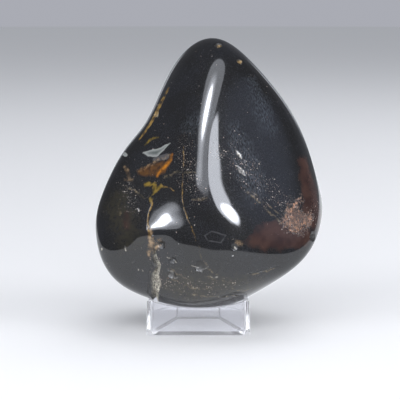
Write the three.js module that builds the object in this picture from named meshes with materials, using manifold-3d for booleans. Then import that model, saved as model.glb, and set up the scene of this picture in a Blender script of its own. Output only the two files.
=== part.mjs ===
// Black onyx: a polished freeform stone that stands upright on a small clear stand.
// Millimetres. +Z is up, +X is to the right and -Y is towards the viewer.
// The stand's base lies at z = 0, and the middle of the whole piece stands over the origin.
import * as THREE from "three";
import { mergeVertices } from "three/addons/utils/BufferGeometryUtils.js";
import Module from "manifold-3d";

const wasm = await Module();
wasm.setup();

// Main sizes
const HEART_HEIGHT = 30.1;
const SHIFT = new THREE.Vector3(-0.19, -0.37, 0);

// The stone is ground into broad soft flats around its heart. A flat faces "turn" degrees to the
// right of the front and "lift" degrees above level, and lies "reach" from the heart.
const FLATS = {
  leftFace: { turn: -39.1, lift: 24.4, reach: 23.3 },
  rightFace: { turn: 24.4, lift: 18.3, reach: 21.9 },
  belly: { turn: 13.7, lift: 0.6, reach: 23.5 },
  leftUnder: { turn: -15.3, lift: -9, reach: 20.9 },
  frontUnder: { turn: 19, lift: -43, reach: 25.8 },
  leftSlope: { turn: -107, lift: 31, reach: 36.1 },
  leftLobe: { turn: -107, lift: -25, reach: 28.8 },
  leftLow: { turn: -71, lift: -69, reach: 27 },
  rightSlope: { turn: 98, lift: 41, reach: 38.9 },
  rightTip: { turn: 74, lift: 12, reach: 31.3 },
  rightUnder: { turn: 42, lift: -61, reach: 28.4 },
  rightLow: { turn: 106, lift: -48, reach: 22 },
  bottom: { turn: 0, lift: -83, reach: 26.4 },
  apex: { turn: -30, lift: 52, reach: 39.7 },
  back: { turn: 176, lift: 11, reach: 19 },
  backLeft: { turn: -131, lift: 10, reach: 24.8 },
  backRight: { turn: 138, lift: 12, reach: 27.1 },
  backUnder: { turn: 180, lift: -48, reach: 23.8 },
};
const EDGE_SHARPNESS = 11;
const STONE_FINENESS = 16;

// Shallow hollows and swells in the polish: "spread" is in degrees, and "depth" is a share of the
// local radius, less than nothing for a swell.
const HOLLOWS = {
  waist: { turn: -112, lift: 57, spread: 13, depth: 0.093 },
  front: { turn: -18.4, lift: 47.7, spread: 25, depth: 0.139 },
  crown: { turn: -15.9, lift: 65.5, spread: 10.1, depth: -0.016 },
  slope: { turn: -55.5, lift: 17.6, spread: 17.2, depth: 0.078 },
  groove: { turn: -18.3, lift: 15.9, spread: 16, depth: 0.083 },
  cheek: { turn: 3.7, lift: -2.3, spread: 11.9, depth: 0.035 },
  chin: { turn: -33.7, lift: 1.7, spread: 5.5, depth: -0.056 },
  pinch: { turn: -33.1, lift: 3.1, spread: 5.5, depth: 0.046 },
  lobe: { turn: -47, lift: -2.3, spread: 6, depth: -0.035 },
  leftSeat: { turn: -102, lift: -51, spread: 14, depth: 0.036 },
  rightSeat: { turn: 84, lift: -62, spread: 8, depth: -0.02 },
};

// Small round pits: the radius of each, and how far it goes in.
const PITS = [
  { turn: 118, lift: 86.5, radius: 1.1, depth: 0.8 },
  { turn: 74, lift: 79, radius: 0.9, depth: 0.6 },
  { turn: -37, lift: -11, radius: 1.1, depth: 0.8 },
  { turn: -29, lift: -22.5, radius: 0.9, depth: 0.6 },
  { turn: -31, lift: -32, radius: 1.2, depth: 0.8 },
  { turn: -7.5, lift: -26.5, radius: 1.6, depth: 0.7 },
  { turn: 18.5, lift: -11, radius: 0.8, depth: 0.5 },
  { turn: 68, lift: -6, radius: 1.2, depth: 0.8 },
  { turn: -90, lift: 63.5, radius: 1, depth: 0.6 },
  { turn: 155, lift: -8, radius: 1.4, depth: 0.9 },
  { turn: 171, lift: 34, radius: 1.1, depth: 0.7 },
];

// The open crack low on the left face, as its jagged outline seen from the front.
const CRACK_DEPTH = 1.6;
const CRACK_OUTLINE = [
  [-16.2, 26.2],
  [-14.9, 25.4],
  [-14.3, 22.6],
  [-13.2, 20.4],
  [-13.6, 17.2],
  [-13.1, 14.6],
  [-13.9, 12],
  [-14, 7],
  [-15.4, 7],
  [-16.2, 12.4],
  [-16.3, 15.2],
  [-16, 17.6],
  [-14.8, 19.4],
  [-15.7, 22],
  [-15.3, 24.4],
];

// The stand: a square thin-walled moulded tray with four raised corners. Its floor is pushed up into
// a blunt pyramid, hollow underneath.
const STAND_CENTRE = new THREE.Vector3(-3, -0.8, 0);
const STAND_SIZE = 28.5;
const STAND_TOP_SIZE = 28.1;
const STAND_HEIGHT = 10.2;
const STAND_CORNER = 2.5;
const WALL = 1.4;
const SIDE_DIP = 7.8;
const FLOOR_EDGE_HEIGHT = 1.2;
const PYRAMID_HEIGHT = 3.6;
const PYRAMID_TOP_SIZE = 12.5;
const PYRAMID_CORNER = 1;
const UNDERSIDE_CEILING = 2.4;
const UNDERSIDE_MOUTH_SIZE = 25;
const UNDERSIDE_TOP_SIZE = 11.5;
const SPILL = 1;

function toSolid(geometry) {
  geometry.deleteAttribute("normal");
  geometry.deleteAttribute("uv");
  const merged = mergeVertices(geometry);
  return new wasm.Manifold(new wasm.Mesh({
    numProp: 3,
    vertProperties: Float32Array.from(merged.attributes.position.array),
    triVerts: Uint32Array.from(merged.index.array),
  }));
}

function toGeometry(solid) {
  const mesh = solid.getMesh();
  const geometry = new THREE.BufferGeometry();
  geometry.setAttribute("position", new THREE.BufferAttribute(mesh.vertProperties, 3));
  geometry.setIndex(new THREE.BufferAttribute(mesh.triVerts, 1));
  geometry.computeVertexNormals();
  return geometry;
}

function direction({ turn, lift }) {
  const across = THREE.MathUtils.degToRad(turn);
  const up = THREE.MathUtils.degToRad(lift);
  return new THREE.Vector3(
    Math.sin(across) * Math.cos(up),
    -Math.cos(across) * Math.cos(up),
    Math.sin(up),
  );
}

const flatList = Object.values(FLATS).map((flat) => ({ facing: direction(flat), reach: flat.reach }));
const hollowList = Object.values(HOLLOWS).map((hollow) => ({
  facing: direction(hollow),
  spread: THREE.MathUtils.degToRad(hollow.spread),
  depth: hollow.depth,
}));

// Distance from the heart to the polished surface: a rounded meeting of all the flats, less the hollows.
function surfaceRadius(facing) {
  let crowd = 0;
  for (const flat of flatList) {
    crowd += Math.max(0, facing.dot(flat.facing) / flat.reach) ** EDGE_SHARPNESS;
  }
  let hollow = 0;
  for (const dent of hollowList) {
    const apart = 2 * (1 - facing.dot(dent.facing));
    hollow += dent.depth * Math.exp(-apart / (2 * dent.spread ** 2));
  }
  return (1 - hollow) / crowd ** (1 / EDGE_SHARPNESS);
}

// The stone's rounded body, or the same body shrunk by "inset" all over.
function stoneBody(inset) {
  const geometry = new THREE.IcosahedronGeometry(1, STONE_FINENESS);
  const places = geometry.attributes.position;
  const facing = new THREE.Vector3();
  for (let i = 0; i < places.count; i += 1) {
    facing.fromBufferAttribute(places, i).normalize();
    const radius = surfaceRadius(facing) - inset;
    places.setXYZ(i, facing.x * radius, facing.y * radius, facing.z * radius + HEART_HEIGHT);
  }
  return toSolid(geometry);
}

function pitCutter(pit) {
  const facing = direction(pit);
  const ball = new THREE.IcosahedronGeometry(1, 2);
  // The ball is wide enough that its cap is as broad and as deep as the pit.
  const ballRadius = (pit.radius ** 2 + pit.depth ** 2) / (2 * pit.depth);
  const out = surfaceRadius(facing) - pit.depth + ballRadius;
  ball.scale(ballRadius, ballRadius, ballRadius);
  ball.translate(facing.x * out, facing.y * out, facing.z * out + HEART_HEIGHT);
  return toSolid(ball);
}

function crackCutter() {
  const outline = new THREE.Shape(CRACK_OUTLINE.map(([x, z]) => new THREE.Vector2(x, z)));
  const geometry = new THREE.ExtrudeGeometry(outline, { depth: 30, bevelEnabled: false });
  geometry.rotateX(Math.PI / 2);
  const column = toSolid(geometry);
  return column.subtract(stoneBody(CRACK_DEPTH));
}

function makeStone() {
  let solid = stoneBody(0).subtract(crackCutter());
  for (const pit of PITS) {
    solid = solid.subtract(pitCutter(pit));
  }
  return toGeometry(solid);
}

function roundedSquare(size, corner) {
  const half = size / 2;
  const flat = half - corner;
  const shape = new THREE.Shape();
  shape.moveTo(-flat, -half);
  shape.lineTo(flat, -half);
  shape.absarc(flat, -flat, corner, -Math.PI / 2, 0, false);
  shape.lineTo(half, flat);
  shape.absarc(flat, flat, corner, 0, Math.PI / 2, false);
  shape.lineTo(-flat, half);
  shape.absarc(-flat, flat, corner, Math.PI / 2, Math.PI, false);
  shape.lineTo(-half, -flat);
  shape.absarc(-flat, -flat, corner, Math.PI, 1.5 * Math.PI, false);
  return shape;
}

// A block with a rounded square section, "lowSize" wide at z = low and "highSize" wide at z = high.
// Its corner radius is "corner" at the low end.
function taperedBlock(lowSize, highSize, corner, low, high) {
  const geometry = new THREE.ExtrudeGeometry(roundedSquare(lowSize, corner), {
    depth: high - low,
    bevelEnabled: false,
    curveSegments: 6,
  });
  const places = geometry.attributes.position;
  for (let i = 0; i < places.count; i += 1) {
    const climb = places.getZ(i) / (high - low);
    const widening = THREE.MathUtils.lerp(1, highSize / lowSize, climb);
    places.setXYZ(i, places.getX(i) * widening, places.getY(i) * widening, places.getZ(i) + low);
  }
  return toSolid(geometry);
}

// The size that a tapered block reaches when its sides run on to another height.
function sizeAt(height, lowSize, low, highSize, high) {
  return lowSize + (highSize - lowSize) * (height - low) / (high - low);
}

// A long cylinder that lowers the middle of two opposite sides and leaves the corners up.
function dipCutter(alongX) {
  const half = STAND_SIZE / 2;
  const rise = STAND_HEIGHT - SIDE_DIP;
  const radius = (half ** 2 + rise ** 2) / (2 * rise);
  const cylinder = new THREE.CylinderGeometry(radius, radius, 2 * STAND_SIZE, 96);
  if (alongX) {
    cylinder.rotateZ(Math.PI / 2);
  }
  cylinder.translate(0, 0, SIDE_DIP + radius);
  return toSolid(cylinder);
}

function makeStand() {
  const body = taperedBlock(STAND_SIZE, STAND_TOP_SIZE, STAND_CORNER, 0, STAND_HEIGHT);
  const traySize = STAND_SIZE - 2 * WALL;
  const tray = taperedBlock(
    traySize,
    traySize,
    STAND_CORNER - WALL,
    FLOOR_EDGE_HEIGHT,
    STAND_HEIGHT + SPILL,
  );
  const pyramid = taperedBlock(
    sizeAt(0, traySize, FLOOR_EDGE_HEIGHT, PYRAMID_TOP_SIZE, PYRAMID_HEIGHT),
    PYRAMID_TOP_SIZE,
    PYRAMID_CORNER,
    0,
    PYRAMID_HEIGHT,
  );
  const underside = taperedBlock(
    sizeAt(-SPILL, UNDERSIDE_MOUTH_SIZE, 0, UNDERSIDE_TOP_SIZE, UNDERSIDE_CEILING),
    UNDERSIDE_TOP_SIZE,
    PYRAMID_CORNER,
    -SPILL,
    UNDERSIDE_CEILING,
  );
  const solid = body
    .subtract(tray.subtract(pyramid))
    .subtract(underside)
    .subtract(dipCutter(true))
    .subtract(dipCutter(false));
  return toGeometry(solid.translate(STAND_CENTRE.x, STAND_CENTRE.y, STAND_CENTRE.z));
}

const stone = new THREE.Mesh(
  makeStone(),
  new THREE.MeshStandardMaterial({ color: 0x101113, roughness: 0.08, metalness: 0 }),
);
stone.name = "stone";

const stand = new THREE.Mesh(
  makeStand(),
  new THREE.MeshStandardMaterial({ color: 0xe8edf2, roughness: 0.05, metalness: 0 }),
);
stand.name = "stand";

const group = new THREE.Group();
group.add(stone, stand);
group.position.copy(SHIFT);

export default group;
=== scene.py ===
# Black onyx: a polished freeform stone on a small clear stand.
# Metres, +Z up, -Y towards the viewer. Sizes that name _MM are millimetres.
import math

import bmesh
import bpy
import numpy as np
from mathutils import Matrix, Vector


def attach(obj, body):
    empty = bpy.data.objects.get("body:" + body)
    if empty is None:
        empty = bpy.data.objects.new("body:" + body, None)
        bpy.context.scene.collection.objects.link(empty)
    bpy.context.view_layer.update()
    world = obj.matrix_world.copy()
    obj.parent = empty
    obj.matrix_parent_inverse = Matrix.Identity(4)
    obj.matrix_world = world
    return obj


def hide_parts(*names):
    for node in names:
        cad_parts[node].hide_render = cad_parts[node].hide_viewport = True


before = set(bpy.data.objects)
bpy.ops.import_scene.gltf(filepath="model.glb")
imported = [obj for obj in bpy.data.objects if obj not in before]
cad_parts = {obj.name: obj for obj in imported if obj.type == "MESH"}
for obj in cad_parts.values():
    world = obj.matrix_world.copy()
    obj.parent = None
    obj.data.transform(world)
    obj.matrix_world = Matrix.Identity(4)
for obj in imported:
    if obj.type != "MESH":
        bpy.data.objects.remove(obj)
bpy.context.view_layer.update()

MM = 0.001

# The stone's shape: flats as (turn, lift, reach). A flat faces "turn" degrees to the right of the
# front and "lift" degrees above level, and lies "reach" millimetres from the stone's heart.
# Most values here and in HOLLOWS were fitted to the stone's outline and highlights by a separate
# program, and then rounded.
HEART_MM = np.array([-0.19, -0.37, 30.1])
FLATS = {
    "left_face": (-39.1, 24.4, 23.3),
    "right_face": (24.4, 18.3, 21.9),
    "belly": (13.7, 0.6, 23.5),
    "left_under": (-15.3, -9, 20.9),
    "front_under": (19, -43, 25.8),
    "left_slope": (-107, 31, 36.1),
    "left_lobe": (-107, -25, 28.8),
    "left_low": (-71, -69, 27),
    "right_slope": (98, 41, 38.9),
    "right_tip": (74, 12, 31.3),
    "right_under": (42, -61, 28.4),
    "right_low": (106, -48, 22),
    "bottom": (0, -83, 26.4),
    "apex": (-30, 52, 39.7),
    "back": (176, 11, 19),
    "back_left": (-131, 10, 24.8),
    "back_right": (138, 12, 27.1),
    "back_under": (180, -48, 23.8),
}
EDGE_SHARPNESS = 11

# Hollows in the polish as (turn, lift, spread in degrees, depth as a share of the local radius).
HOLLOWS = {
    "waist": (-112, 57, 13, 0.093),
    "front": (-18.4, 47.7, 25, 0.139),
    "crown": (-15.9, 65.5, 10.1, -0.016),
    "slope": (-55.5, 17.6, 17.2, 0.078),
    "groove": (-18.3, 15.9, 16, 0.083),
    "cheek": (3.7, -2.3, 11.9, 0.035),
    "chin": (-33.7, 1.7, 5.5, -0.056),
    "pinch": (-33.1, 3.1, 5.5, 0.046),
    "lobe": (-47, -2.3, 6, -0.035),
    "left_seat": (-102, -51, 14, 0.036),
    "right_seat": (84, -62, 8, -0.02),
}

# Small round pits as (turn, lift, radius, depth), the last two in millimetres.
PITS = {
    "top": (118, 86.5, 1.1, 0.8),
    "top_right": (74, 79, 0.9, 0.6),
    "beside_crack": (-37, -11, 1.1, 0.8),
    "low_left": (-29, -22.5, 0.9, 0.6),
    "low_middle": (-31, -32, 1.2, 0.8),
    "belly": (-7.5, -26.5, 1.6, 0.7),
    "olive": (18.5, -11, 0.8, 0.5),
    "right_rim": (68, -6, 1.2, 0.8),
    "left_shoulder": (-90, 63.5, 1, 0.6),
    "back_low": (155, -8, 1.4, 0.9),
    "back_high": (171, 34, 1.1, 0.7),
}

# The open crack low on the left face: its jagged outline seen from the front, in millimetres.
CRACK_DEPTH_MM = 1.6
CRACK_WALL_MM = 0.25
DRUZY_RIM_MM = 0.3
CRACK_LEFT_EDGE = [
    (-16.2, 26.2), (-15.3, 24.4), (-15.7, 22), (-14.8, 19.4), (-16, 17.6), (-16.3, 15.2),
    (-16.2, 12.4), (-15.4, 7),
]
CRACK_RIGHT_EDGE = [
    (-16.2, 26.2), (-14.9, 25.4), (-14.3, 22.6), (-13.2, 20.4), (-13.6, 17.2), (-13.1, 14.6),
    (-13.9, 12), (-14, 7),
]
GRAIN_HEIGHT_MM = 0.35

# Marks in the stone. Each is a stroke through a few places on the surface as (turn, lift, half width
# in millimetres).
# Gold veins. Among them are a painted rim light along the left outline, and the two top pits' gold with a
# painted glint in each.
GOLD_VEINS_AND_PAINTED_LIGHT = {
    "middle_vein": [(-33.5, 59, 0.08), (-29.5, 52.5, 0.15), (-28, 42, 0.14), (-25.5, 24.5, 0.15),
                    (-21, 14.5, 0.18), (-14, 1.5, 0.15), (-9.5, -11, 0.11)],
    "left_vein": [(-53.5, 20, 0.13), (-51, 15.5, 0.3), (-50.5, 9, 0.17), (-46.5, 0.5, 0.26),
                  (-44.5, -4.5, 0.3)],
    "thin_arc": [(-48, 33, 0.15), (-39.5, 32.5, 0.14), (-35, 30, 0.08)],
    # A painted rim light: a gold strip along the left outline that stands for light caught in that edge.
    "painted_rim_light": [(-96.5, 73, 0.35), (-92.5, 66, 0.65), (-89, 58.5, 0.6), (-87, 49.5, 0.35)],
    # The two top pits painted gold: their gold lining, with a painted glint in each.
    "top_pit_gold_and_glint": [(116, 86.5, 0.7), (120, 86.5, 0.7)],
    "top_right_pit_gold_and_glint": [(73, 79, 0.6), (75, 79, 0.6)],
    "back_vein": [(150, 48, 0.1), (158, 30, 0.3), (156, 12, 0.2), (166, -6, 0.35), (170, -24, 0.1)],
    "back_branch": [(156, 12, 0.25), (142, 2, 0.2), (134, -12, 0.1)],
    "side_vein": [(-112, 40, 0.1), (-118, 18, 0.3), (-110, -4, 0.15)],
}
YELLOW_MARKS = {
    "spot": [(-63, 29.5, 0.45), (-60, 31, 0.7)],
    "link": [(-60, 31, 0.3), (-56, 32.5, 0.4)],
    "leaf": [(-56, 32.5, 0.5), (-53.5, 27.5, 0.6), (-54.5, 23.5, 0.1)],
    "leaf_tip": [(-53.5, 28, 0.5), (-49, 32.5, 0.45), (-45, 32, 0.1)],
    "drop": [(-54, 20.5, 0.5), (-53, 18, 0.25)],
    "high_arc": [(-79, 49.5, 0.15), (-77, 54, 0.4), (-71, 57.5, 0.15)],
}
ORANGE_MARKS = {"tongue": [(-55.5, 38.5, 0.2), (-51, 44.5, 0.42), (-46.5, 51, 0.4), (-46, 54, 0.15)]}
AMBER_MARKS = {
    "amber": [(-70, 35, 0.8), (-61.5, 40.5, 1.6), (-53.5, 44, 1.7)],
    "back_amber": [(-140, 34, 0.8), (-148, 28, 1.7), (-152, 20, 0.9)],
}
PALE_MARKS = {
    "shoulder_chip": [(-88.5, 64, 0.35), (-86, 63.5, 0.2)],
    "right_chip_high": [(29, 55, 0.1), (31, 53, 0.35), (33.5, 50, 0.14)],
    "right_chip_low": [(28, 46, 0.2), (31, 42.5, 0.65), (33, 39.5, 0.12)],
    "low_chip_upper": [(-33, -20, 0.1), (-29, -22, 0.24), (-26.5, -24, 0.14)],
    "low_chip_lower": [(-33, -29, 0.32), (-30, -32, 0.24)],
    "low_chip_foot": [(-28.5, -34.5, 0.24), (-26.5, -34.5, 0.14)],
    "low_chip_right": [(2, -33.5, 0.1), (5.5, -32.5, 0.21)],
    "left_dot_rim": [(-71.5, -12, 0.26), (-71.5, -12.5, 0.26)],
    "left_dot_long": [(-59.5, -11, 0.08), (-59, -13.5, 0.18)],
    "left_dot_middle": [(-55.5, -21, 0.2), (-55, -21, 0.2)],
    "left_dot_small": [(-53, -25.5, 0.14), (-53, -26, 0.14)],
    "left_dot_low": [(-50.5, -26.5, 0.18), (-50.5, -27, 0.18)],
    "left_dot_high": [(-59, 11.5, 0.2), (-58.5, 10.5, 0.2)],
    "belly_dot_high": [(18.5, -11.5, 0.16), (19, -12, 0.16)],
    "belly_dot_low": [(16.5, -16.5, 0.16), (17, -16.5, 0.16)],
    "scratch_left": [(-14, -26.5, 0.08), (-8.5, -28.5, 0.13)],
    "scratch_right": [(-6, -29.5, 0.2), (-1, -26, 0.08)],
    "back_chip": [(-168, 9, 0.15), (-165, 6, 0.55), (-162, 4, 0.15)],
    "back_dot": [(176, -18, 0.3), (177, -19, 0.3)],
}
BLUE_MARKS = {
    "crescent": [(-76, 45.5, 0.2), (-70.5, 48, 0.85), (-65, 50.5, 1.15), (-60, 54.5, 0.7),
                 (-53.5, 59, 0.12)],
    "rim_chip": [(-89, 38, 0.6), (-86, 38, 0.4)],
}
WISP_MARKS = {
    "level": [(-48, 39, 0.15), (-40, 42.5, 0.3), (-34.5, 45, 0.28), (-27, 44.5, 0.25), (-13, 44, 0.15)],
    "smear": [(-15.5, 25, 0.15), (-8.5, 25.5, 0.4), (-2, 25.5, 0.15)],
    "vein_tail": [(-9.5, -11, 0.2), (-6, -20.5, 0.2), (-0.5, -27.5, 0.16), (5, -31, 0.12)],
    "band_streak": [(32.5, 28.5, 0.15), (39.5, 19.5, 0.3), (45, 11.5, 0.25), (51, 4, 0.15)],
    "band_side": [(36.5, 27, 0.1), (44, 18, 0.15), (51, 9, 0.1)],
    "belly_upper": [(-3.5, -33.5, 0.1), (10, -35, 0.18), (24, -35.5, 0.1)],
    "belly_middle": [(-30.5, -35.5, 0.1), (-20.5, -40, 0.22), (-8, -42, 0.25), (4, -41, 0.1)],
    "belly_lower": [(-25, -43, 0.1), (-8.5, -47, 0.2), (12, -48.5, 0.22), (29, -47, 0.1)],
    "belly_foot": [(-33, -27.5, 0.1), (-25.5, -33, 0.2), (-16, -36.5, 0.1)],
    "seam_rust": [(27, -28.5, 0.1), (34, -27, 0.3), (41, -24, 0.3), (47, -22, 0.1)],
    "belly_right": [(15.5, -40, 0.1), (31.5, -41.5, 0.22), (41.5, -37.5, 0.1)],
    "left_streak": [(-72.5, 10.5, 0.1), (-67.5, 5, 0.2), (-62, -1, 0.1)],
    "left_grey": [(-75, 23, 0.1), (-69, 23, 0.25), (-59.5, 20, 0.22), (-56.5, 22.5, 0.1)],
    "back_wisp": [(-178, 20, 0.1), (170, 14, 0.25), (158, 2, 0.1)],
}
FAINT_MARKS = {
    "flake_top": [(-4, -4, 0.15), (1.5, -0.5, 0.12), (12.5, -3, 0.15)],
    "flake_foot": [(12.5, -3, 0.12), (8.5, -8.5, 0.15), (-1, -7.5, 0.12), (-4, -4, 0.15)],
    "haze_chip": [(-63.5, 47, 0.6), (-52.5, 51.5, 0.9)],
}
RED_MARKS = {
    "patch": [(28.5, -7, 1.0), (40, -4.5, 3.4), (60, -3, 3.8)],
    "edge": [(78, 32, 1.6), (75.5, 18, 3.8), (72, 4, 3.4)],
    "side": [(80, 2, 2.6), (100, -4, 2.8), (118, -12, 0.8)],
    "left_streaks": [(-66, 8, 0.6), (-61, 0, 0.8)],
    "back": [(-172, -22, 1.6), (172, -30, 2.8)],
}
DARK_MARKS = {
    "seam": [(-43, -3.5, 0.1), (-40, -8.5, 0.24), (-36.5, -12.5, 0.15)],
    "right_seam": [(28.5, -27.5, 0.12), (35, -26, 0.3), (41, -23, 0.22), (47, -21, 0.1)],
    "chip_shade": [(-31.5, -23, 0.35), (-27, -22, 0.35)],
    "crack_lip": [(-45.5, -19.5, 0.15), (-42.5, -26, 0.3), (-46.4, -29, 0.35),
                  (-51, -40.5, 0.35), (-52, -47, 0.2)],
}
TAN_MARKS = {
    "amber_edge": [(-72, 34.5, 0.05), (-68, 39, 0.15), (-60.5, 47.5, 0.25), (-55, 49.5, 0.15),
                   (-49, 53, 0.05)],
    "bent_chip": [(-82, 33, 0.1), (-78.5, 31, 0.35), (-76, 28, 0.1)],
    "bent_chip_foot": [(-77.5, 26.5, 0.2), (-73, 27.5, 0.1)],
    "above_crack": [(-44.5, -2, 0.6), (-44, -9.5, 0.8), (-45.5, -18.5, 0.5)],
    "crack_wing": [(-41.5, -14.5, 0.6), (-38, -8.5, 0.7)],
    "olive_chip": [(20.5, -8.5, 0.45), (22.5, -8, 0.45)],
}
# Where fine pale grains lie in the stone.
GRAIN_ZONES = {
    "middle": [(-36, 62, 2.4), (-26, 53, 3.6), (-17, 39.5, 4.0)],
    "middle_dense": [(-23, 41.5, 3.6), (-12, 33, 3.6)],
    "band": [(-4.5, 59, 1.6), (31, 48, 3.2), (45.5, 30.5, 3.4), (59, 9, 3.6)],
    "cluster": [(57.5, 3.5, 4.2), (62, 4, 4.2)],
    "beside_light": [(26, 60, 1.4), (32, 42, 2), (37, 28, 2.2), (46, 15, 2)],
    "foot": [(-38.5, -23, 2.4), (-39.5, -37.5, 3)],
    "belly": [(-36.5, -36, 3), (-12, -41, 3), (20.5, -36.5, 2.4)],
    "left": [(-72.5, 21.5, 3), (-65.5, 13.5, 3)],
    "right_side": [(62, 4, 3), (92, 8, 3.4), (124, 22, 2.4)],
    "back": [(124, 22, 2.4), (150, 20, 3.6), (178, 6, 3.6), (-156, -6, 2)],
}
CRYSTAL_ZONES = {
    "cluster": [(56, 5, 2.2), (61, 5, 2.8), (66, 4, 1.8)],
    "upper": [(58, 9, 1.4), (66, 14, 0.8)],
    "lower": [(54, 1.5, 1.2), (60, -1.5, 1)],
}
# Where the painted sheen lies: a bluish painted reflection of the lamps beside and above the highlights and
# on the back, streaked like fine scratches.
PAINTED_SHEEN_ZONES = {
    "beside_light": [(30, 64, 1.5), (36, 53, 2.6), (38.5, 40, 2.8), (39, 25, 2)],
    "above_light": [(-30, 68, 2), (0, 70, 2)],
    "upper_right": [(70, 72, 1.6), (68, 65, 2.2), (64.5, 57, 1.6)],
    "back": [(-170, 40, 3), (160, 30, 4)],
}
OLIVE_ZONES = {
    "left_low": [(-73.5, 12, 4), (-58.5, -4, 4)],
    "belly": [(-30.5, -39, 4), (9.5, -41, 4.6), (34, -38, 3)],
    "back_low": [(-150, -20, 6), (-176, -34, 5)],
}

# Each kind of mark, with how far its strokes waver in millimetres. The painted sheen is kept with them.
MARKS = {
    "red": (RED_MARKS, 1.6),
    "amber": (AMBER_MARKS, 0.6),
    "tan": (TAN_MARKS, 1.0),
    "faint": (FAINT_MARKS, 0.3),
    "gold": (GOLD_VEINS_AND_PAINTED_LIGHT, 0.5),
    "yellow": (YELLOW_MARKS, 0.5),
    "orange": (ORANGE_MARKS, 0.3),
    "pale": (PALE_MARKS, 0.3),
    "blue": (BLUE_MARKS, 0.4),
    "dark": (DARK_MARKS, 0.3),
    "wisp": (WISP_MARKS, 0.8),
    "crystal": (CRYSTAL_ZONES, 2.2),
    "painted_sheen": (PAINTED_SHEEN_ZONES, 3.0),
    "grains": (GRAIN_ZONES, 3.0),
    "olive": (OLIVE_ZONES, 3.0),
}
NARROW_MARKS = ["faint", "wisp", "gold", "yellow", "orange", "pale", "blue", "dark"]
# Distances to a mark are kept up to this.
FAR_MM = 9.0

# The mesh is made finer twice: this near to narrow marks the first and the second time, this near to
# the crack, and within this share of a pit's radius.
MARK_MARGINS_MM = (0.8, 0.4)
CRACK_MARGIN_MM = 2.6
PIT_MARGIN = 1.3

# Camera
CAMERA_LIFT = 9
CAMERA_DISTANCE_MM = 380
AIM_MM = Vector((-2.71, -0.24, 35.35))
LENS_MM = 122.2
SENSOR_MM = 36

# Colours, linear
BLACK = (0.0095, 0.0095, 0.010, 1)
BLUE_BLACK = (0.012, 0.0125, 0.015, 1)
DUST = (0.055, 0.06, 0.07, 1)
RED_DARK = (0.030, 0.014, 0.012, 1)
RED_BROWN = (0.055, 0.027, 0.021, 1)
AMBER_DARK = (0.030, 0.014, 0.007, 1)
AMBER = (0.10, 0.042, 0.009, 1)
ORANGE = (0.56, 0.20, 0.008, 1)
ORANGE_DARK = (0.16, 0.06, 0.006, 1)
GOLD_DARK = (0.065, 0.038, 0.012, 1)
GOLD = (0.30, 0.185, 0.045, 1)
YELLOW_DARK = (0.06, 0.045, 0.009, 1)
YELLOW = (0.23, 0.15, 0.02, 1)
TAN_DARK = (0.11, 0.065, 0.03, 1)
TAN = (0.34, 0.23, 0.13, 1)
PALE_DARK = (0.05, 0.053, 0.055, 1)
PALE = (0.44, 0.41, 0.36, 1)
BLUE_GREY_DARK = (0.085, 0.10, 0.10, 1)
BLUE_GREY = (0.33, 0.345, 0.34, 1)
OLIVE = (0.027, 0.024, 0.015, 1)
FAINT = (0.14, 0.14, 0.15, 1)
CRYSTAL_DARK = (0.045, 0.022, 0.016, 1)
CRYSTAL = (0.52, 0.27, 0.16, 1)
GRAIN_WARM = (0.16, 0.09, 0.06, 1)
GRAIN_PALE = (0.50, 0.44, 0.40, 1)
DRUZY_SHADE = (0.035, 0.03, 0.022, 1)
DRUZY_LIGHT = (0.80, 0.75, 0.63, 1)
PIT_SHADE = (0.014, 0.013, 0.011, 1)
WISP_DARK = (0.035, 0.028, 0.016, 1)
WISP = (0.20, 0.155, 0.095, 1)
# The painted sheen's colour, a bluish painted reflection beside the highlights.
PAINTED_SHEEN = (0.07, 0.083, 0.10, 1)

BACKDROP = (0.40, 0.41, 0.455, 1)
SKY = (0.44, 0.45, 0.47, 1)
STUDIO = (0.15, 0.155, 0.175, 1)
LAMP_TINT = (0.93, 0.97, 1.06, 1)
SHEEN_TINT = (0.75, 0.88, 1.25, 1)

CLEAR_PLASTIC = (0.91, 0.915, 0.95, 1)

# The floor lies a hair above the stand's foot, so that the foot rests in it with no air between.
FLOOR_HEIGHT_MM = 0.05
FLOOR_REACH_MM = 3000
FLOOR_COLOUR = (0.84, 0.85, 0.88, 1)

# A second, brighter floor in the same place, which only reflections see.
MIRRORED_FLOOR_LOW_MM = (-1500, -330)
MIRRORED_FLOOR_HIGH_MM = (1500, 900)
MIRRORED_FLOOR_GLOW = 1.15
MIRRORED_FLOOR_TINT = (0.95, 0.97, 1.0, 1)

BACKDROP_RADIUS_MM = 2800
SKY_RADIUS_MM = 2900
LAMP_DISTANCE_MM = 900
CARD_DISTANCE_MM = 2400
CARDS_CENTRE_MM = (0, -14, 42)


def unit(turn, lift):
    """The direction that points turn degrees to the right of the front and lift degrees up."""
    across, up = math.radians(turn), math.radians(lift)
    return np.array([
        math.sin(across) * math.cos(up),
        -math.cos(across) * math.cos(up),
        math.sin(up),
    ])


def surface_radius(facing):
    """Distance in millimetres from the heart to the polished surface, for rows of directions."""
    crowd = np.zeros(len(facing))
    for turn, lift, reach in FLATS.values():
        crowd += np.maximum(0, facing @ unit(turn, lift) / reach) ** EDGE_SHARPNESS
    hollow = np.zeros(len(facing))
    for turn, lift, spread, depth in HOLLOWS.values():
        apart = 2 * (1 - facing @ unit(turn, lift))
        hollow += depth * np.exp(-apart / (2 * math.radians(spread) ** 2))
    return (1 - hollow) / crowd ** (1 / EDGE_SHARPNESS)


def new_object(name, mesh):
    piece = bpy.data.objects.new(name, mesh)
    bpy.context.scene.collection.objects.link(piece)
    return piece


def hide_from(piece, *rays):
    """Keep a piece from being seen by these kinds of rays."""
    for ray in rays:
        setattr(piece, "visible_" + ray, False)


def surface_point(turn, lift):
    """The place on the polished surface, in millimetres, that lies turn and lift from the heart."""
    facing = unit(turn, lift)
    return HEART_MM + facing * surface_radius(facing[None, :])[0]


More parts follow.
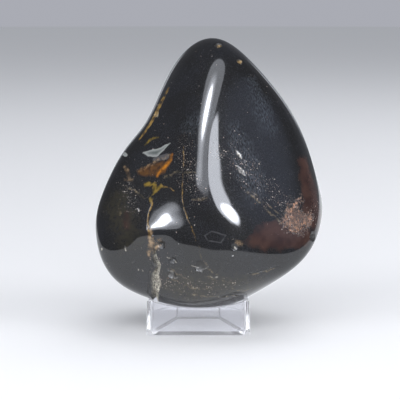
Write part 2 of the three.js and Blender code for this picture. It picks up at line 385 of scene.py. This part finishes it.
def line_distance(points, line, half_widths=None):
    """How far rows of points are from a line through a few places, or outside its half widths."""
    if half_widths is None:
        half_widths = [0] * len(line)
    nearest = np.full(len(points), np.inf)
    for index in range(len(line) - 1):
        start, end = np.array(line[index], float), np.array(line[index + 1], float)
        along = end - start
        share = np.clip((points - start) @ along / (along @ along), 0, 1)
        gap = np.linalg.norm(points - start - share[:, None] * along, axis=1)
        gap -= half_widths[index] + share * (half_widths[index + 1] - half_widths[index])
        nearest = np.minimum(nearest, gap)
    return nearest


def smooth(value, low, high):
    """0 at low, 1 at high and a soft step between. Low may be the larger of the two."""
    share = np.clip((value - low) / (high - low), 0, 1)
    return share * share * (3 - 2 * share)


def lumps(points, size):
    """Soft random lumps between 0 and 1, the same in every run, about size millimetres apart."""
    scaled = points / size
    cell = np.floor(scaled)
    part = scaled - cell
    part = part * part * (3 - 2 * part)
    total = np.zeros(len(points))
    for corner in np.ndindex(2, 2, 2):
        place = cell + corner
        mixed = np.sin(place @ np.array([12.9898, 78.233, 37.719])) * 43758.5453
        weight = np.prod(np.where(np.array(corner) == 1, part, 1 - part), axis=1)
        total += weight * (mixed - np.floor(mixed))
    return total


def edge_at(heights, edge):
    """How far to the right an edge of the crack lies, at rows of heights."""
    rising = edge[::-1]
    return np.interp(heights, [z for _, z in rising], [x for x, _ in rising])


def crack_depth(points):
    """How deep the crack is at rows of points on the front, and how far each is inside it."""
    front = points[:, [0, 2]]
    heights = front[:, 1]
    top, foot = CRACK_LEFT_EDGE[0][1], CRACK_LEFT_EDGE[-1][1]
    to_left = line_distance(front, CRACK_LEFT_EDGE)
    to_right = line_distance(front, CRACK_RIGHT_EDGE)
    left = edge_at(heights, CRACK_LEFT_EDGE)
    right = edge_at(heights, CRACK_RIGHT_EDGE)
    within = (front[:, 0] > left) & (front[:, 0] < right) & (heights < top) & (heights > foot)
    inside = np.where(within & (points[:, 1] < 0), 1.0, 0.0)
    slope = to_right / (to_left + to_right + 1e-6)
    depth = inside * CRACK_DEPTH_MM * slope * smooth(to_left, 0, CRACK_WALL_MM)
    depth *= smooth(heights, foot - 1, foot + 2)
    druzy = inside * smooth(np.minimum(to_left, to_right), 0, DRUZY_RIM_MM)
    return depth, druzy


def pit_depth(points):
    """How deep the pits are at rows of points, and how far each is inside one."""
    depth, within = np.zeros(len(points)), np.zeros(len(points))
    for turn, lift, radius, deep in PITS.values():
        apart = np.linalg.norm(points - surface_point(turn, lift), axis=1) / radius
        uneven = 0.75 + 0.5 * lumps(points + turn, radius * 0.7)
        depth += deep * uneven * np.maximum(0, 1 - apart**2)
        within = np.maximum(within, smooth(apart, 1.1, 0.75))
    return depth, within


def stroke_depth(points, marks):
    """How far rows of points are outside the nearest of these strokes, less than 0 inside it."""
    nearest = np.full(len(points), FAR_MM)
    for stroke in marks.values():
        line = [surface_point(turn, lift) for turn, lift, _ in stroke]
        half_widths = [half_width for _, _, half_width in stroke]
        nearest = np.minimum(nearest, line_distance(points, line, half_widths))
    return nearest


def swayed(points, amount):
    """The points moved about a little, so that strokes drawn at them waver."""
    shifts = [
        lumps(points + shift, 1.6) + 0.5 * lumps(points - shift, 0.7) - 0.75
        for shift in (11, 23, 37)
    ]
    return points + np.stack(shifts, axis=1) * amount


def stone_ball():
    """A ball of unit radius, finer where the crack, the pits and the narrow marks go."""
    ball = bmesh.new()
    bmesh.ops.create_icosphere(ball, subdivisions=7, radius=1)
    for margin in MARK_MARGINS_MM:
        facing = np.array([vert.co[:] for vert in ball.verts])
        facing /= np.linalg.norm(facing, axis=1)[:, None]
        points = HEART_MM + facing * surface_radius(facing)[:, None]
        near = line_distance(points[:, [0, 2]], CRACK_RIGHT_EDGE) < CRACK_MARGIN_MM
        near &= points[:, 1] < 0
        for turn, lift, radius, _ in PITS.values():
            near |= np.linalg.norm(points - surface_point(turn, lift), axis=1) < radius * PIT_MARGIN
        for name in NARROW_MARKS:
            near |= stroke_depth(points, MARKS[name][0]) < margin
        edges = [edge for edge in ball.edges if near[edge.verts[0].index] and near[edge.verts[1].index]]
        bmesh.ops.subdivide_edges(ball, edges=edges, cuts=1, use_grid_fill=True)
        bmesh.ops.triangulate(ball, faces=ball.faces[:])
        ball.verts.index_update()
    return ball


def keep_values(mesh, name, values):
    attribute = mesh.attributes.new(name, "FLOAT", "POINT")
    attribute.data.foreach_set("value", values.astype(np.float32))


def make_stone():
    ball = stone_ball()
    mesh = bpy.data.meshes.new("stone_polished")
    ball.to_mesh(mesh)
    ball.free()
    places = np.empty(len(mesh.vertices) * 3, np.float32)
    mesh.vertices.foreach_get("co", places)
    facing = places.reshape(-1, 3).astype(float)
    facing /= np.linalg.norm(facing, axis=1)[:, None]
    points = HEART_MM + facing * surface_radius(facing)[:, None]
    crack, druzy = crack_depth(points)
    pits, pitted = pit_depth(points)
    keep_values(mesh, "druzy", druzy)
    keep_values(mesh, "pitted", pitted)
    for name, (marks, sway) in MARKS.items():
        keep_values(mesh, name, stroke_depth(swayed(points, sway), marks))
    grains = lumps(points, 0.45) * 0.6 + lumps(points + 7, 0.9) * 0.4
    inward = crack + pits - druzy * (grains - 0.4) * GRAIN_HEIGHT_MM * 2
    points -= facing * inward[:, None]
    mesh.vertices.foreach_set("co", (points * MM).astype(np.float32).ravel())
    mesh.polygons.foreach_set("use_smooth", np.ones(len(mesh.polygons), bool))
    mesh.update()
    stone = new_object("stone_polished", mesh)
    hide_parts("stone")
    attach(stone, "root")
    return stone


class Recipe:
    """Adds nodes to a material one at a time. Each call returns the new node's output."""

    def __init__(self, material):
        self.nodes = material.node_tree.nodes
        self.links = material.node_tree.links

    def feed(self, socket, value):
        if isinstance(value, bpy.types.NodeSocket):
            self.links.new(value, socket)
        else:
            socket.default_value = value

    def add(self, kind, inputs, output=0, **settings):
        node = self.nodes.new(kind)
        for name, value in settings.items():
            setattr(node, name, value)
        for key, value in inputs.items():
            self.feed(node.inputs[key], value)
        return node.outputs[output]

    def math(self, operation, first, second):
        return self.add("ShaderNodeMath", {0: first, 1: second}, operation=operation)

    def vector(self, operation, first, second):
        return self.add("ShaderNodeVectorMath", {0: first, 1: second}, operation=operation)

    def scaled(self, vector, factor):
        return self.add("ShaderNodeVectorMath", {0: vector, "Scale": factor}, operation="SCALE")

    def fade(self, value, low, high):
        """0 at low, 1 at high, and a soft step between. Low may be the larger of the two."""
        limits = {"Value": value, "From Min": low, "From Max": high}
        return self.add("ShaderNodeMapRange", limits, interpolation_type="SMOOTHSTEP")

    def noise(self, place, size, detail):
        """Cloudy noise with lumps about size millimetres across."""
        settings = {"Vector": place, "Scale": 1 / size, "Detail": detail}
        return self.add("ShaderNodeTexNoise", settings, "Fac")

    def blend(self, share, low, high):
        """A mix of two colours. They are the mix node's inputs 6 and 7."""
        node = self.nodes.new("ShaderNodeMix")
        node.data_type = "RGBA"
        self.feed(node.inputs[0], share)
        self.feed(node.inputs[6], low)
        self.feed(node.inputs[7], high)
        return node.outputs[2]

    def stored(self, name):
        """A value kept on the mesh's points."""
        return self.add("ShaderNodeAttribute", {}, "Fac", attribute_name=name)


def new_material(name):
    material = bpy.data.materials.new(name)
    material.use_nodes = True
    shader = material.node_tree.nodes["Principled BSDF"]
    return material, shader


def millimetres(recipe):
    place = recipe.add("ShaderNodeTexCoord", {}, "Object")
    return recipe.scaled(place, 1 / MM)


def grain_share(recipe, place, size, density):
    """Round grains about size millimetres apart. Where density is 1 every cell has one."""
    cells = recipe.nodes.new("ShaderNodeTexVoronoi")
    recipe.feed(cells.inputs["Vector"], place)
    recipe.feed(cells.inputs["Scale"], 1 / size)
    chance = recipe.add("ShaderNodeSeparateColor", {0: cells.outputs["Color"]}, "Red")
    reach = recipe.add("ShaderNodeSeparateColor", {0: cells.outputs["Color"]}, "Green")
    reach = recipe.math("MULTIPLY", reach, 0.2)
    reach = recipe.math("ADD", reach, 0.08)
    gap = recipe.math("SUBTRACT", cells.outputs["Distance"], reach)
    grain = recipe.fade(gap, 0.1, -0.1)
    here = recipe.math("LESS_THAN", chance, density)
    return recipe.math("MULTIPLY", grain, here)


def cell_tone(recipe, place, size):
    """A value between 0 and 1 for each cell about size millimetres across."""
    cells = recipe.add("ShaderNodeTexVoronoi", {"Vector": place, "Scale": 1 / size}, "Color")
    return recipe.add("ShaderNodeSeparateColor", {0: cells}, "Blue")


def onyx_material():
    material, shader = new_material("onyx")
    recipe = Recipe(material)
    place = millimetres(recipe)
    patchy = recipe.noise(place, 1.1, 4)
    broad = recipe.noise(place, 9.0, 3)
    fine = recipe.noise(place, 0.35, 3)
    ragged = recipe.math("SUBTRACT", recipe.noise(place, 0.5, 3), 0.5)

    colour = recipe.blend(recipe.fade(broad, 0.35, 0.7), BLACK, BLUE_BLACK)
    dust = recipe.fade(fine, 0.5, 0.8)
    colour = recipe.blend(recipe.math("MULTIPLY", dust, 0.25), colour, DUST)

    def paint(colour, name, paint_colour, soft, rag, strength, breaks):
        """Blend a kind of mark over the colour, and return its share too."""
        edge = recipe.math("ADD", recipe.stored(name), recipe.math("MULTIPLY", ragged, rag))
        share = recipe.fade(edge, soft, -soft)
        share = recipe.math("MULTIPLY", share, recipe.fade(patchy, *breaks))
        share = recipe.math("MULTIPLY", share, strength)
        return recipe.blend(share, colour, paint_colour), share

    bright = recipe.fade(recipe.noise(place, 1.3, 3), 0.35, 0.62)
    colour, _ = paint(colour, "olive", OLIVE, 3.0, 3.0, 0.9, (0.2, 0.7))
    mottled = recipe.fade(recipe.noise(place, 3.5, 5), 0.36, 0.64)
    red = recipe.blend(mottled, RED_DARK, RED_BROWN)
    colour, _ = paint(colour, "red", red, 1.0, 1.6, 0.9, (0.05, 0.45))
    colour, _ = paint(colour, "amber", recipe.blend(bright, AMBER_DARK, AMBER), 0.5, 1.0, 0.95, (0.1, 0.4))
    colour, _ = paint(colour, "tan", recipe.blend(bright, TAN_DARK, TAN), 0.5, 1.2, 0.85, (0.3, 0.55))
    streaked = recipe.noise(recipe.vector("MULTIPLY", place, (1, 1, 0.12)), 0.3, 3)
    # Painted sheen: a bluish painted reflection of the lamps beside the highlights, streaked like fine
    # scratches.
    painted_sheen = recipe.fade(recipe.stored("painted_sheen"), 2.5, -2.0)
    painted_sheen = recipe.math("MULTIPLY", painted_sheen, recipe.fade(streaked, 0.4, 0.75))
    colour = recipe.blend(recipe.math("MULTIPLY", painted_sheen, 0.8), colour, PAINTED_SHEEN)
    wisp_colour = recipe.blend(bright, WISP_DARK, WISP)
    colour, _ = paint(colour, "wisp", wisp_colour, 0.25, 0.8, 0.85, (0.35, 0.6))
    colour, _ = paint(colour, "faint", FAINT, 0.15, 0.2, 0.4, (0.2, 0.5))
    pitted = recipe.stored("pitted")
    colour = recipe.blend(recipe.math("MULTIPLY", pitted, recipe.fade(fine, 0.75, 0.45)), colour, PIT_SHADE)
    # Gold veins, and with them the painted rim light on the left outline and the painted glints in the top
    # pits.
    gold = recipe.blend(bright, GOLD_DARK, GOLD)
    colour, gold_share = paint(colour, "gold", gold, 0.14, 0.35, 0.9, (0.3, 0.5))
    yellow = recipe.blend(bright, YELLOW_DARK, YELLOW)
    colour, _ = paint(colour, "yellow", yellow, 0.3, 0.7, 0.9, (0.25, 0.5))
    orange = recipe.blend(bright, ORANGE_DARK, ORANGE)
    colour, _ = paint(colour, "orange", orange, 0.5, 0.8, 0.9, (0.1, 0.45))
    pale_colour = recipe.blend(bright, PALE_DARK, PALE)
    colour, pale = paint(colour, "pale", pale_colour, 0.2, 0.4, 0.95, (0.25, 0.5))
    blue_colour = recipe.blend(recipe.fade(recipe.stored("blue"), 0.1, -1.1), BLUE_GREY, BLUE_GREY_DARK)
    colour, _ = paint(colour, "blue", blue_colour, 0.15, 0.2, 0.9, (0.1, 0.4))
    colour, dark = paint(colour, "dark", BLACK, 0.1, 0.2, 1.0, (0.1, 0.3))

    crystal_edge = recipe.math("ADD", recipe.stored("crystal"), recipe.math("MULTIPLY", ragged, 4.0))
    crystal = recipe.fade(crystal_edge, 0.8, -0.8)
    facets = recipe.math("POWER", cell_tone(recipe, place, 0.5), 2.6)
    rim = recipe.math("MULTIPLY", recipe.fade(recipe.stored("crystal"), -2.4, -0.2), 0.7)
    facets = recipe.math("MULTIPLY", facets, recipe.math("ADD", rim, 0.2))
    crystal_colour = recipe.blend(facets, CRYSTAL_DARK, CRYSTAL)
    colour = recipe.blend(recipe.math("MULTIPLY", crystal, 0.9), colour, crystal_colour)

    density = recipe.fade(recipe.stored("grains"), 1.0, -3.5)
    density = recipe.math("MULTIPLY", density, 0.75)
    density = recipe.math("ADD", density, 0.012)
    grains = recipe.math("MAXIMUM", grain_share(recipe, place, 0.6, density),
                         grain_share(recipe, place, 0.28, density))
    grain_colour = recipe.blend(recipe.fade(patchy, 0.35, 0.65), GRAIN_WARM, GRAIN_PALE)
    colour = recipe.blend(recipe.math("MULTIPLY", grains, 0.8), colour, grain_colour)

    druzy = recipe.stored("druzy")
    sugar = recipe.math("MULTIPLY", cell_tone(recipe, place, 0.3), recipe.fade(fine, 0.25, 0.6))
    colour = recipe.blend(druzy, colour, recipe.blend(sugar, DRUZY_SHADE, DRUZY_LIGHT))
    recipe.links.new(colour, shader.inputs["Base Color"])

    rough = recipe.math("MAXIMUM", druzy, recipe.math("MULTIPLY", pale, 0.45))
    rough = recipe.math("MAXIMUM", rough, recipe.math("MULTIPLY", crystal, 0.6))
    rough = recipe.math("MAXIMUM", rough, recipe.math("MULTIPLY", grains, 0.4))
    rough = recipe.math("MAXIMUM", rough, pitted)
    rough = recipe.math("MAXIMUM", rough, dark)
    rough = recipe.math("MULTIPLY", rough, 0.5)
    rough = recipe.math("ADD", rough, recipe.math("MULTIPLY", recipe.fade(broad, 0.3, 0.8), 0.03))
    recipe.links.new(recipe.math("ADD", rough, 0.05), shader.inputs["Roughness"])
    shader.inputs["IOR"].default_value = 1.54
    shader.inputs["Coat Weight"].default_value = 0.08
    shader.inputs["Coat Roughness"].default_value = 0.4

    height = recipe.math("MULTIPLY", recipe.noise(place, 0.4, 3), recipe.math("MAXIMUM", druzy, crystal))
    height = recipe.math("MULTIPLY", height, 0.5)
    sunk = recipe.math("ADD", recipe.math("MULTIPLY", pale, 0.08), recipe.math("MULTIPLY", dark, 0.2))
    sunk = recipe.math("ADD", sunk, recipe.math("MULTIPLY", grains, 0.03))
    sunk = recipe.math("ADD", sunk, recipe.math("MULTIPLY", gold_share, 0.02))
    ripple = recipe.math("MULTIPLY", recipe.noise(place, 3.0, 1), 0.006)
    height = recipe.math("ADD", recipe.math("SUBTRACT", height, sunk), ripple)
    bump = recipe.add("ShaderNodeBump", {"Height": height, "Distance": MM, "Strength": 1.0}, "Normal")
    recipe.links.new(bump, shader.inputs["Normal"])
    return material


def clear_material():
    material, shader = new_material("clear_plastic")
    shader.inputs["Base Color"].default_value = CLEAR_PLASTIC
    shader.inputs["Roughness"].default_value = 0.04
    shader.inputs["IOR"].default_value = 1.3
    shader.inputs["Transmission Weight"].default_value = 0.9
    return material


def floor_material(name, glow=0.0):
    """Plain matt pale grey. The glow is added to what the lamps give it."""
    material, shader = new_material(name)
    shader.inputs["Base Color"].default_value = FLOOR_COLOUR
    shader.inputs["Emission Color"].default_value = MIRRORED_FLOOR_TINT
    shader.inputs["Emission Strength"].default_value = glow
    shader.inputs["Roughness"].default_value = 0.7
    shader.inputs["Specular IOR Level"].default_value = 0.0
    return material


def rectangle(name, low, high, height):
    """A flat level mesh between two corners. Millimetres."""
    mesh = bpy.data.meshes.new(name)
    corners = [(low[0], low[1]), (high[0], low[1]), (high[0], high[1]), (low[0], high[1])]
    mesh.from_pydata([(x * MM, y * MM, height * MM) for x, y in corners], [], [(0, 1, 2, 3)])
    mesh.update()
    return mesh


def floor_sheet(name, low, high):
    sheet = new_object(name, rectangle(name, low, high, FLOOR_HEIGHT_MM))
    return sheet


def make_floor():
    """A plain pale floor, and a brighter one in its place that only reflections see."""
    reach = FLOOR_REACH_MM
    seen = floor_sheet("floor", (-reach, -reach), (reach, reach))
    seen.data.materials.append(floor_material("pale_floor"))
    hide_from(seen, "glossy")
    mirrored = floor_sheet("floor_mirrored", MIRRORED_FLOOR_LOW_MM, MIRRORED_FLOOR_HIGH_MM)
    mirrored.data.materials.append(floor_material("bright_floor", MIRRORED_FLOOR_GLOW))
    hide_from(mirrored, "camera", "diffuse", "transmission", "shadow")


def ball_backdrop(name, radius_mm, colour):
    """A glowing ball round the whole scene, seen from inside."""
    ball = bmesh.new()
    bmesh.ops.create_uvsphere(ball, u_segments=48, v_segments=24, radius=radius_mm * MM)
    mesh = bpy.data.meshes.new(name)
    ball.to_mesh(mesh)
    ball.free()
    material = bpy.data.materials.new(name)
    material.use_nodes = True
    nodes = material.node_tree.nodes
    nodes.clear()
    glow = nodes.new("ShaderNodeEmission")
    out = nodes.new("ShaderNodeOutputMaterial")
    material.node_tree.links.new(glow.outputs[0], out.inputs["Surface"])
    glow.inputs["Color"].default_value = colour
    mesh.materials.append(material)
    piece = new_object(name, mesh)
    hide_from(piece, "shadow")
    return piece


def make_backdrop():
    """The plain grey that the camera and the clear stand see behind everything."""
    grey = ball_backdrop("backdrop", BACKDROP_RADIUS_MM, BACKDROP)
    hide_from(grey, "glossy", "diffuse")


def area_light(name, turn, lift, distance, width, height, power, aim=(0, 0, 30)):
    """A soft lamp aimed at a point. It lights things, but isn't mirrored in them. Millimetres."""
    lamp = bpy.data.lights.new(name, "AREA")
    lamp.shape = "RECTANGLE"
    lamp.size = width * MM
    lamp.size_y = height * MM
    lamp.energy = power
    light = new_object(name, lamp)
    aim = Vector(aim)
    place = aim + Vector(unit(turn, lift)) * distance
    light.location = place * MM
    light.rotation_euler = (aim - place).to_track_quat("-Z", "Y").to_euler()
    hide_from(light, "camera", "glossy")


def glow_card(name, seen_from, turn, lift, wide, tall, distance, glow, soft, tint=LAMP_TINT):
    """A glowing oval panel that only reflections see.

    It is centred turn and lift degrees from the point seen_from, and is wide and tall degrees
    across. The share "soft" of its radius fades out at the edge.
    """
    half_x = distance * math.tan(math.radians(wide / 2))
    half_y = distance * math.tan(math.radians(tall / 2))
    mesh = rectangle(name, (-half_x, -half_y), (half_x, half_y), 0)
    card = new_object(name, mesh)
    start = Vector(seen_from)
    place = start + Vector(unit(turn, lift)) * distance
    card.location = place * MM
    card.rotation_euler = (start - place).to_track_quat("Z", "Y").to_euler()
    mesh.materials.append(glow_material(name, half_x * MM, half_y * MM, glow, soft, tint))
    hide_from(card, "camera", "diffuse", "transmission", "shadow")


def glow_material(name, half_x, half_y, glow, soft, tint):
    """A glow that is even in the middle of an oval and fades to clear at its edge."""
    material = bpy.data.materials.new(name)
    material.use_nodes = True
    nodes, links = material.node_tree.nodes, material.node_tree.links
    nodes.clear()
    place = nodes.new("ShaderNodeTexCoord")
    scale = nodes.new("ShaderNodeVectorMath")
    scale.operation = "DIVIDE"
    scale.inputs[1].default_value = (half_x, half_y, 1)
    away = nodes.new("ShaderNodeVectorMath")
    away.operation = "LENGTH"
    fade = nodes.new("ShaderNodeMapRange")
    fade.interpolation_type = "SMOOTHSTEP"
    fade.inputs["From Min"].default_value = 1
    fade.inputs["From Max"].default_value = 1 - soft
    fade.inputs["To Max"].default_value = glow
    emission = nodes.new("ShaderNodeEmission")
    emission.inputs["Color"].default_value = tint
    clear = nodes.new("ShaderNodeBsdfTransparent")
    add = nodes.new("ShaderNodeAddShader")
    out = nodes.new("ShaderNodeOutputMaterial")
    links.new(place.outputs["Object"], scale.inputs[0])
    links.new(scale.outputs[0], away.inputs[0])
    links.new(away.outputs["Value"], fade.inputs["Value"])
    links.new(fade.outputs[0], emission.inputs["Strength"])
    links.new(emission.outputs[0], add.inputs[0])
    links.new(clear.outputs[0], add.inputs[1])
    links.new(add.outputs[0], out.inputs["Surface"])
    return material


def make_sky():
    """Even light from all round that falls on the floor and the stone but isn't mirrored in them."""
    sky = ball_backdrop("sky", SKY_RADIUS_MM, SKY)
    hide_from(sky, "camera", "glossy", "transmission")


def make_lights():
    """Four soft lamps, and the cards that the highlights on the stone mirror."""
    near = LAMP_DISTANCE_MM
    area_light("overhead", 140, 66, near, 620, 620, 2.6)
    area_light("left_lamp", -60, 17, near, 400, 300, 3.2)
    area_light("right_lamp", 70, 17, near, 400, 300, 4.2)
    area_light("front_pool", 0, 89, 300, 420, 240, 0.8, aim=(0, -330, 0))
    middle = CARDS_CENTRE_MM
    far = CARD_DISTANCE_MM
    glow_card("left_haze", middle, -30, 48.5, 54.4, 61.7, far, 2.9, soft=0.12)
    glow_card("left_glow", middle, -37.6, 40.3, 34, 44, far - 20, 7, soft=0.7)
    glow_card("left_core", middle, -37.6, 40.3, 17, 25, far - 40, 22, soft=0.3)
    glow_card("front_haze", middle, 7.7, 23.6, 27.4, 28, far, 11, soft=0.2)
    glow_card("front_core", middle, 14.1, 18.9, 24.7, 14.9, far - 30, 26, soft=0.3)
    glow_card("right_sheen", middle, 52, 26, 60, 50, far, 0.42, soft=0.9, tint=SHEEN_TINT)
    glow_card("back_left_lamp", middle, -150, 14, 14, 26, far, 2.0, soft=0.8)
    glow_card("back_right_lamp", middle, 150, 14, 14, 26, far, 2.0, soft=0.8)
    glow_card("grey_behind", middle, 180, 10, 150, 120, far + 60, 0.07, soft=0.4)


def make_world():
    """The dim grey that reflections see where there is no card and no floor."""
    world = bpy.data.worlds.new("studio")
    bpy.context.scene.world = world
    world.use_nodes = True
    back = world.node_tree.nodes["Background"]
    back.inputs["Color"].default_value = STUDIO
    back.inputs["Strength"].default_value = 1.0


def make_camera():
    data = bpy.data.cameras.new("camera")
    data.lens = LENS_MM
    data.sensor_width = SENSOR_MM
    data.clip_start = 0.01
    data.clip_end = 20
    camera = new_object("camera", data)
    place = AIM_MM + Vector(unit(0, CAMERA_LIFT)) * CAMERA_DISTANCE_MM
    camera.location = place * MM
    camera.rotation_euler = (AIM_MM - place).to_track_quat("-Z", "Y").to_euler()
    bpy.context.scene.camera = camera


make_camera()
make_floor()
make_backdrop()
make_sky()
make_lights()
make_world()
stone = make_stone()
stone.data.materials.append(onyx_material())
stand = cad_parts["stand"]
stand.data.materials.clear()
stand.data.materials.append(clear_material())
hide_from(stand, "shadow", "diffuse")
bpy.context.scene.view_settings.view_transform = "Standard"
